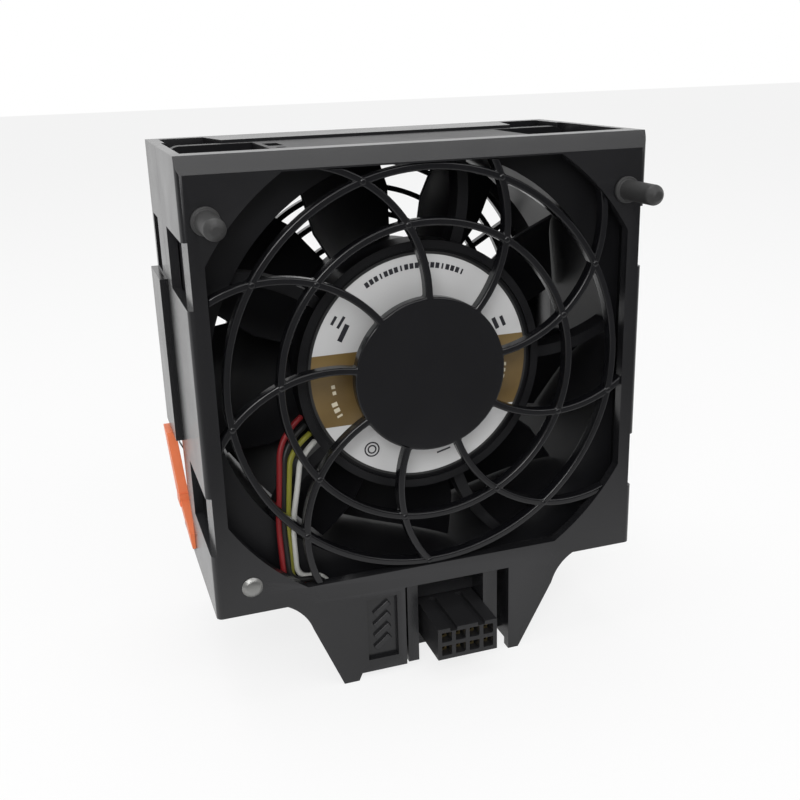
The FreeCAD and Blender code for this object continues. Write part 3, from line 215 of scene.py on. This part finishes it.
# ---------------------------------------------------------------- front housing
# The front half of the module: a black glass-filled moulding with a thick face,
# thin walls, a docking tab below and eased edges where the mould parts.
def moulded(name, colour, roughness, grain, edge_wear_and_sheen=0.0, gloss_level=0.32):
    """Moulded plastic: faint flow marks, uneven gloss, a fine grain, and convex edges
    lightened as rub wear and as a painted edge highlight.
    """
    material, tree, output = new_material(name)
    shader = tree.nodes.new("ShaderNodeBsdfPrincipled")
    shader.inputs["Specular IOR Level"].default_value = gloss_level
    place = tree.nodes.new("ShaderNodeTexCoord")
    flow = tree.nodes.new("ShaderNodeTexNoise")
    flow.inputs["Scale"].default_value = 55.0
    flow.inputs["Detail"].default_value = 5.0
    tree.links.new(place.outputs["Object"], flow.inputs["Vector"])
    tone = tree.nodes.new("ShaderNodeMix")
    tone.data_type = "RGBA"
    tone.inputs["A"].default_value = (*[c * 0.82 for c in colour], 1)
    tone.inputs["B"].default_value = (*[c * 1.22 for c in colour], 1)
    tree.links.new(flow.outputs["Fac"], tone.inputs["Factor"])
    surface = tone.outputs["Result"]
    # convex edges lightened by pointiness: partly rub wear, partly a painted edge
    # highlight
    if edge_wear_and_sheen:
        edge = tree.nodes.new("ShaderNodeNewGeometry")
        rubbed_and_sheen_mask = tree.nodes.new("ShaderNodeMapRange")
        rubbed_and_sheen_mask.inputs["From Min"].default_value = 0.52
        rubbed_and_sheen_mask.inputs["From Max"].default_value = 0.62
        rubbed_and_sheen_mask.inputs["To Max"].default_value = edge_wear_and_sheen
        tree.links.new(edge.outputs["Pointiness"], rubbed_and_sheen_mask.inputs["Value"])
        worn_and_sheen_colour = tree.nodes.new("ShaderNodeMix")
        worn_and_sheen_colour.data_type = "RGBA"
        worn_and_sheen_colour.inputs["B"].default_value = (*[c * 2.5 + 0.02 for c in colour], 1)
        tree.links.new(rubbed_and_sheen_mask.outputs["Result"], worn_and_sheen_colour.inputs["Factor"])
        tree.links.new(surface, worn_and_sheen_colour.inputs["A"])
        surface = worn_and_sheen_colour.outputs["Result"]
    tree.links.new(surface, shader.inputs["Base Color"])
    gloss = tree.nodes.new("ShaderNodeMapRange")
    gloss.inputs["To Min"].default_value = roughness - 0.06
    gloss.inputs["To Max"].default_value = roughness + 0.08
    tree.links.new(flow.outputs["Fac"], gloss.inputs["Value"])
    tree.links.new(gloss.outputs["Result"], shader.inputs["Roughness"])
    fine = tree.nodes.new("ShaderNodeTexNoise")
    fine.inputs["Scale"].default_value = 2600.0
    fine.inputs["Detail"].default_value = 3.0
    tree.links.new(place.outputs["Object"], fine.inputs["Vector"])
    bump = tree.nodes.new("ShaderNodeBump")
    bump.inputs["Strength"].default_value = 0.5
    bump.inputs["Distance"].default_value = grain * MM
    tree.links.new(fine.outputs["Fac"], bump.inputs["Height"])
    tree.links.new(bump.outputs["Normal"], shader.inputs["Normal"])
    tree.links.new(shader.outputs[0], output.inputs["Surface"])
    return material


def pick(piece):
    """Makes this piece the only one selected, and active."""
    bpy.ops.object.select_all(action="DESELECT")
    piece.select_set(True)
    bpy.context.view_layer.objects.active = piece


def ease_edges(piece, width, segments, angle=32.0, clamp=True):
    """Rounds the sharp edges, then shades the rest smooth."""
    pick(piece)
    if width:
        bevel = piece.modifiers.new("eased_edges", "BEVEL")
        bevel.width = width * MM
        bevel.segments = segments
        bevel.limit_method = "ANGLE"
        bevel.use_clamp_overlap = clamp
        bevel.angle_limit = math.radians(angle)
        bpy.ops.object.modifier_apply(modifier=bevel.name)
    bpy.ops.object.shade_smooth_by_angle(angle=math.radians(angle))
    flats = piece.modifiers.new("flat_faces", "WEIGHTED_NORMAL")
    flats.keep_sharp = True
    bpy.ops.object.modifier_apply(modifier=flats.name)


def finished(node, name, material, width=0.25, segments=2, angle=32.0, clamp=True):
    """A copy of a solid with its facets joined and its edges eased, in its place."""
    piece = bpy.data.objects.new(name, frame["nodes"][node].data.copy())
    scene.collection.objects.link(piece)
    pick(piece)
    bpy.ops.object.mode_set(mode="EDIT")
    bpy.ops.mesh.select_all(action="SELECT")
    bpy.ops.mesh.customdata_custom_splitnormals_clear()
    bpy.ops.mesh.remove_doubles(threshold=0.002 * MM)
    bpy.ops.mesh.dissolve_limited(angle_limit=math.radians(0.6))
    bpy.ops.object.mode_set(mode="OBJECT")
    ease_edges(piece, width, segments, angle, clamp)
    piece.data.materials.clear()
    piece.data.materials.append(material)
    body = frame["nodes"][node]["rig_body"]
    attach(piece, body)
    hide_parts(node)
    return piece


# the housing's convex edges are lightened: rub wear together with a painted edge highlight
black_plastic = moulded("housing_black", (0.009, 0.009, 0.010), 0.24, 0.03, 0.3, 0.45)
housing_front = finished("front_housing", "housing_front", black_plastic, 0.35)


# ---------------------------------------------------------------- front grille
# The finger guard moulded with the face: a plain centre disc, two rings and nine
# bent spokes with round fronts, in the same black plastic, polished by the mould.
grille_plastic = moulded("grille_black", (0.005, 0.005, 0.006), 0.20, 0.012, 0.0, 0.42)
grille = finished("front_grille", "grille", grille_plastic, 0.60, 4, 40.0, False)


def joined(pieces, name, material, body="housing"):
    """Small like pieces made one, with their place taken into the mesh."""
    bpy.ops.object.select_all(action="DESELECT")
    for piece in pieces:
        piece.select_set(True)
    bpy.context.view_layer.objects.active = pieces[0]
    bpy.ops.object.join()
    bpy.ops.object.transform_apply(location=True, rotation=True, scale=True)
    whole = bpy.context.object
    whole.name = name
    whole.data.materials.clear()
    whole.data.materials.append(material)
    bpy.ops.object.shade_smooth_by_angle(angle=math.radians(35))
    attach(whole, body)
    return whole


hub_low, hub_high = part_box("shaft")
fan_axis = (hub_low + hub_high) / 2
grille_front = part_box("front_grille")[0].y
spoke_count = 9
dot_radius = 0.95 * MM
rings = (
    # radius of the ring, angle in degrees of its first crossing with a spoke
    (40.8 * MM, 17.8),
    (54.7 * MM, 28.2),
)
dots = []
for ring_radius, first_crossing in rings:
    for turn in range(spoke_count):
        angle = math.radians(first_crossing + 360.0 / spoke_count * turn)
        bpy.ops.object.select_all(action="DESELECT")
        bpy.ops.mesh.primitive_uv_sphere_add(
            segments=16, ring_count=8, radius=dot_radius,
            location=(fan_axis.x + ring_radius * math.cos(angle), grille_front + 0.15 * MM,
                      fan_axis.z + ring_radius * math.sin(angle)))
        dot = bpy.context.object
        dot.scale.y = 0.55
        dots.append(dot)
joined(dots, "crossing_dots", grille_plastic)


# ---------------------------------------------------------------- tab relief
# A sunk panel beside the connector with slanting stiffening ribs, moulded in.
relief_ribs = []
for row in range(4):
    bpy.ops.object.select_all(action="DESELECT")
    bpy.ops.mesh.primitive_cube_add(
        size=1.0, location=(-16.4 * MM, 1.1 * MM, (21.4 - 3.6 * row) * MM),
        rotation=(0, math.radians(-38), 0), scale=(5.6 * MM, 1.2 * MM, 1.7 * MM))
    relief_ribs.append(bpy.context.object)
ribs = joined(relief_ribs, "tab_relief_ribs", black_plastic)
ease_edges(ribs, 0.3, 3)


# ---------------------------------------------------------------- rear housing
# The rear half, clipped to the front along the seam, with slide runners outside.
housing_rear = finished("rear_housing", "housing_rear", black_plastic, 0.3)


# ---------------------------------------------------------------- rear guard
# Round-fronted rings and spokes in the rear wall's opening.
guard = finished("rear_guard", "guard", grille_plastic, 0.5, 3, 40.0)
pick(guard)
bpy.ops.object.mode_set(mode="EDIT")
bpy.ops.mesh.select_all(action="SELECT")
guard_turn = math.radians(30.0)
bpy.ops.transform.rotate(value=guard_turn, orient_axis="Y", center_override=fan_axis)
bpy.ops.object.mode_set(mode="OBJECT")


# ---------------------------------------------------------------- fan frame
# The fan's own square frame with its duct, struts and motor base, one moulding.
fan_black = moulded("fan_black", (0.007, 0.007, 0.008), 0.40, 0.03, 0.0, 0.22)
fan_body = finished("fan_frame", "fan_body", fan_black, 0.3)


# ---------------------------------------------------------------- impeller
# Nine cambered blades on a deep hub, moulded round the steel yoke.
impeller_black = moulded("impeller_black", (0.007, 0.007, 0.008), 0.36, 0.02, 0.0, 0.25)
blades = finished("impeller", "blades", impeller_black, 0.0)
pick(blades)
bpy.ops.object.mode_set(mode="EDIT")
bpy.ops.mesh.select_all(action="SELECT")
blade_turn = math.radians(26.0)
bpy.ops.transform.rotate(value=blade_turn, orient_axis="Y", center_override=fan_axis)
bpy.ops.object.mode_set(mode="OBJECT")


# ---------------------------------------------------------------- motor label
# A round paper label on the motor base: white with a gold band across it, a dark
# rim, and plain printed bars and rings.
label_low, label_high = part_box("motor_label")
label_radius = (label_high.x - label_low.x) / 2
label_paper, tree, output = new_material("label_paper")
shader = tree.nodes.new("ShaderNodeBsdfPrincipled")
shader.inputs["Roughness"].default_value = 0.38
place = tree.nodes.new("ShaderNodeTexCoord")
centred = tree.nodes.new("ShaderNodeMapping")
centred.inputs["Location"].default_value = (-fan_axis.x, 0, -fan_axis.z)
tree.links.new(place.outputs["Object"], centred.inputs["Vector"])
split = tree.nodes.new("ShaderNodeSeparateXYZ")
tree.links.new(centred.outputs["Vector"], split.inputs[0])
flat = tree.nodes.new("ShaderNodeCombineXYZ")
tree.links.new(split.outputs["X"], flat.inputs["X"])
tree.links.new(split.outputs["Z"], flat.inputs["Z"])
reach = tree.nodes.new("ShaderNodeVectorMath")
reach.operation = "LENGTH"
tree.links.new(flat.outputs[0], reach.inputs[0])
band = tree.nodes.new("ShaderNodeMath")
band.operation = "COMPARE"
band.inputs[1].default_value = -3.8 * MM
band.inputs[2].default_value = 10.2 * MM
tree.links.new(split.outputs["Z"], band.inputs[0])
rim = tree.nodes.new("ShaderNodeMath")
rim.operation = "GREATER_THAN"
rim.inputs[1].default_value = label_radius - 0.7 * MM
tree.links.new(reach.outputs["Value"], rim.inputs[0])
foil = tree.nodes.new("ShaderNodeTexNoise")
foil.inputs["Scale"].default_value = 90.0
foil.inputs["Detail"].default_value = 4.0
tree.links.new(place.outputs["Object"], foil.inputs["Vector"])
gold = tree.nodes.new("ShaderNodeMix")
gold.data_type = "RGBA"
gold.inputs["A"].default_value = (0.07, 0.04, 0.012, 1)
gold.inputs["B"].default_value = (0.19, 0.125, 0.04, 1)
tree.links.new(foil.outputs["Fac"], gold.inputs["Factor"])
paper_tone = tree.nodes.new("ShaderNodeMix")
paper_tone.data_type = "RGBA"
paper_tone.inputs["A"].default_value = (0.50, 0.50, 0.50, 1)
tree.links.new(band.outputs[0], paper_tone.inputs["Factor"])
tree.links.new(gold.outputs["Result"], paper_tone.inputs["B"])
edged = tree.nodes.new("ShaderNodeMix")
edged.data_type = "RGBA"
edged.inputs["B"].default_value = (0.02, 0.02, 0.02, 1)
tree.links.new(rim.outputs[0], edged.inputs["Factor"])
tree.links.new(paper_tone.outputs["Result"], edged.inputs["A"])
tree.links.new(edged.outputs["Result"], shader.inputs["Base Color"])
fibre = tree.nodes.new("ShaderNodeTexNoise")
fibre.inputs["Scale"].default_value = 1800.0
tree.links.new(place.outputs["Object"], fibre.inputs["Vector"])
tooth = tree.nodes.new("ShaderNodeBump")
tooth.inputs["Strength"].default_value = 0.3
tooth.inputs["Distance"].default_value = 0.01 * MM
tree.links.new(fibre.outputs["Fac"], tooth.inputs["Height"])
tree.links.new(tooth.outputs["Normal"], shader.inputs["Normal"])
tree.links.new(shader.outputs[0], output.inputs["Surface"])
label = finished("motor_label", "label_disc", label_paper, 0.0)

ink_face = label_low.y - 0.01 * MM


def ink_bar(radius, angle, length, height, turn=0.0):
    """A printed bar on the label, square to the radius unless turned."""
    around = math.radians(angle)
    bpy.ops.object.select_all(action="DESELECT")
    bpy.ops.mesh.primitive_cube_add(
        size=1.0,
        location=(fan_axis.x + radius * MM * math.cos(around), ink_face,
                  fan_axis.z + radius * MM * math.sin(around)),
        rotation=(0, math.radians(90 - angle + turn), 0),
        scale=(length * MM, 0.04 * MM, height * MM))
    return bpy.context.object


def ink_ring(radius, angle, size):
    """A printed ring on the label."""
    around = math.radians(angle)
    bpy.ops.object.select_all(action="DESELECT")
    bpy.ops.mesh.primitive_torus_add(
        major_radius=size * MM, minor_radius=0.22 * MM, major_segments=32,
        minor_segments=6, rotation=(math.radians(90), 0, 0),
        location=(fan_axis.x + radius * MM * math.cos(around), ink_face,
                  fan_axis.z + radius * MM * math.sin(around)))
    ring = bpy.context.object
    ring.scale.z = 0.08
    return ring


dark_ink = moulded("dark_ink", (0.02, 0.02, 0.025), 0.5, 0.01)
marks = [ink_bar(28.2, angle, 1.1 if step % 4 else 0.5, 1.5)
         for step, angle in enumerate(range(64, 122, 3))]
marks += [ink_bar(24.6, 151, 5.0, 1.4), ink_bar(26.6, 146, 3.6, 0.8),
          ink_bar(24.4, 24, 3.4, 1.2), ink_bar(26.6, 23, 3.0, 1.0),
          ink_bar(26.2, 284, 4.2, 0.5)]
marks += [ink_bar(28.6, 147, 2.6, 0.8), ink_ring(26.6, 236, 2.0), ink_ring(26.6, 236, 1.1)]
joined(marks, "label_print", dark_ink)
pale_ink = moulded("pale_ink", (0.55, 0.50, 0.38), 0.5, 0.01)
marks = [ink_bar(26.0, angle, height, 1.6) for angle, height in
         ((197, 1.2), (201, 1.2), (205, 0.6))]
marks += [ink_bar(25.2, angle, 1.0, 1.0) for angle in (186, 190, 355, 351, 347)]
joined(marks, "band_print", pale_ink)


# ---------------------------------------------------------------- guide pins
# Rubber-nosed pins in the two upper corners that steady the module in its bay.
pin_rubber = moulded("pin_rubber", (0.030, 0.030, 0.030), 0.5, 0.02)
for side in ("left", "right"):
    pin = finished(f"guide_pin_{side}", f"pin_{side}", pin_rubber, 0.7, 4)


# ---------------------------------------------------------------- steel parts
def brushed(name, colour, roughness):
    """Turned or pressed metal: a blotchy tone and an uneven gloss."""
    material, tree, output = new_material(name)
    shader = tree.nodes.new("ShaderNodeBsdfPrincipled")
    shader.inputs["Metallic"].default_value = 1.0
    place = tree.nodes.new("ShaderNodeTexCoord")
    stains = tree.nodes.new("ShaderNodeTexNoise")
    stains.inputs["Scale"].default_value = 300.0
    stains.inputs["Detail"].default_value = 4.0
    tree.links.new(place.outputs["Object"], stains.inputs["Vector"])
    tone = tree.nodes.new("ShaderNodeMix")
    tone.data_type = "RGBA"
    tone.inputs["A"].default_value = (*[c * 0.8 for c in colour], 1)
    tone.inputs["B"].default_value = (*colour, 1)
    tree.links.new(stains.outputs["Fac"], tone.inputs["Factor"])
    tree.links.new(tone.outputs["Result"], shader.inputs["Base Color"])
    gloss = tree.nodes.new("ShaderNodeMapRange")
    gloss.inputs["To Min"].default_value = roughness - 0.08
    gloss.inputs["To Max"].default_value = roughness + 0.10
    tree.links.new(stains.outputs["Fac"], gloss.inputs["Value"])
    tree.links.new(gloss.outputs["Result"], shader.inputs["Roughness"])
    tree.links.new(shader.outputs[0], output.inputs["Surface"])
    return material


steel = brushed("rivet_steel", (0.32, 0.32, 0.31), 0.40)
rivet = finished("fan_rivet", "rivet", steel, 0.45, 4, 12.0)
metal_parts = [
    ("bearing_tube", "bearing_sleeve", "tube_brass", (0.72, 0.52, 0.22), 0.25),
    ("bearing_front", "bearing_near", "bearing_steel", (0.60, 0.60, 0.60), 0.22),
    ("bearing_rear", "bearing_far", "bearing_steel", (0.60, 0.60, 0.60), 0.22),
    ("shaft", "motor_shaft", "bearing_steel", (0.66, 0.66, 0.66), 0.15),
    ("shaft_clip", "retaining_clip", "spring_steel", (0.35, 0.36, 0.38), 0.3),
    ("preload_washer", "wave_washer", "spring_steel", (0.35, 0.36, 0.38), 0.3),
    ("stator_core", "stator_stack", "stator_steel", (0.42, 0.42, 0.43), 0.4),
    ("stator_windings", "coils", "copper_wire", (0.72, 0.30, 0.12), 0.3),
    ("rotor_yoke", "flux_cup", "yoke_steel", (0.52, 0.52, 0.50), 0.35),
    ("magnet_ring", "magnet", "magnet", (0.10, 0.10, 0.11), 0.45),
    ("latch_pin", "pivot_pin", "spring_steel", (0.55, 0.55, 0.56), 0.25),
    ("latch_spring", "leaf_spring", "spring_steel", (0.45, 0.45, 0.47), 0.25),
    ("connector_contacts", "contacts", "contact_brass", (0.75, 0.58, 0.26), 0.3),
]
for node, name, finish, colour, roughness in metal_parts:
    part = finished(node, name, brushed(f"{name}_metal", colour, roughness), 0.0)


# ---------------------------------------------------------------- circuit board
board_green = moulded("board_green", (0.02, 0.12, 0.05), 0.3, 0.02)
board = finished("circuit_board", "board", board_green, 0.0)


# ---------------------------------------------------------------- connector
# The eight-way receptacle in the docking tab: a black block with square sockets.
connector_black = moulded("connector_black", (0.014, 0.014, 0.015), 0.36, 0.02)
connector = finished("connector_housing", "receptacle", connector_black, 0.15)


# ---------------------------------------------------------------- motor leads
# Four stranded leads in soft sleeves, from the motor base down behind the face's
# corner and through the floor's slot to the back of the receptacle.
lead_radius = 0.8 * MM
lead_rows = (
    # colour, tone, across at the base, across behind the corner, shift in the slot,
    # depth and height at the foot
    ("red", (0.17, 0.010, 0.012), -40.8, -43.2, -2.7, 4.6, 31.3),
    ("black", (0.012, 0.012, 0.012), -39.6, -41.8, -1.0, 4.6, 33.0),
    ("yellow", (0.18, 0.175, 0.02), -38.2, -40.6, -2.7, 6.3, 31.3),
    ("white", (0.42, 0.42, 0.40), -35.6, -39.2, -1.0, 6.3, 33.0),
)
for number, (name, tone, base_x, corner_x, shift, depth, foot) in enumerate(lead_rows):
    start = math.radians(197 + 4.5 * number)
    socket_x = 5.4 + 4.2 * (number - 1.5)
    route = (
        (35.4 * math.cos(start), 11.2, 88.5 + 35.4 * math.sin(start)),
        (base_x, 8.1, 74.5 - 2.2 * number),
        (base_x - 1.2, 6.2, 62.0),
        (corner_x, 6.0, 50.0),
        (corner_x + 0.2, depth, foot + 8.4),
        (corner_x + 0.4, depth, foot),
        (-30.2 + shift, depth, foot - 0.1),
        (-26.5 + shift, depth + 2.7, 19.4 + 1.2 * number),
        (socket_x - 9.0, 22.6 + 1.9 * number, 15.3 + 1.2 * number),
        (socket_x, 21.8 + 1.9 * number, 14.9),
        (socket_x, 19.05, 14.7),
    )
    path = bpy.data.curves.new(f"wire_{name}", "CURVE")
    path.dimensions = "3D"
    path.bevel_depth = lead_radius
    path.bevel_resolution = 4
    path.resolution_u = 12
    path.use_fill_caps = True
    line = path.splines.new("NURBS")
    line.points.add(len(route) - 1)
    for point, spot in zip(line.points, route):
        point.co = (*[value * MM for value in spot], 1.0)
    line.order_u = 3
    line.use_endpoint_u = True
    lead = bpy.data.objects.new(f"wire_{name}", path)
    scene.collection.objects.link(lead)
    path.materials.append(moulded(f"sleeve_{name}", tone, 0.42, 0.02))
    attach(lead, "housing")
    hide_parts(f"lead_{name}")


# ---------------------------------------------------------------- release latch
# The orange rocker on the left wall, pressed at its thumb tab.
latch_orange = moulded("latch_orange", (0.80, 0.20, 0.08), 0.42, 0.02)
latch = finished("release_latch", "rocker", latch_orange, 0.3)
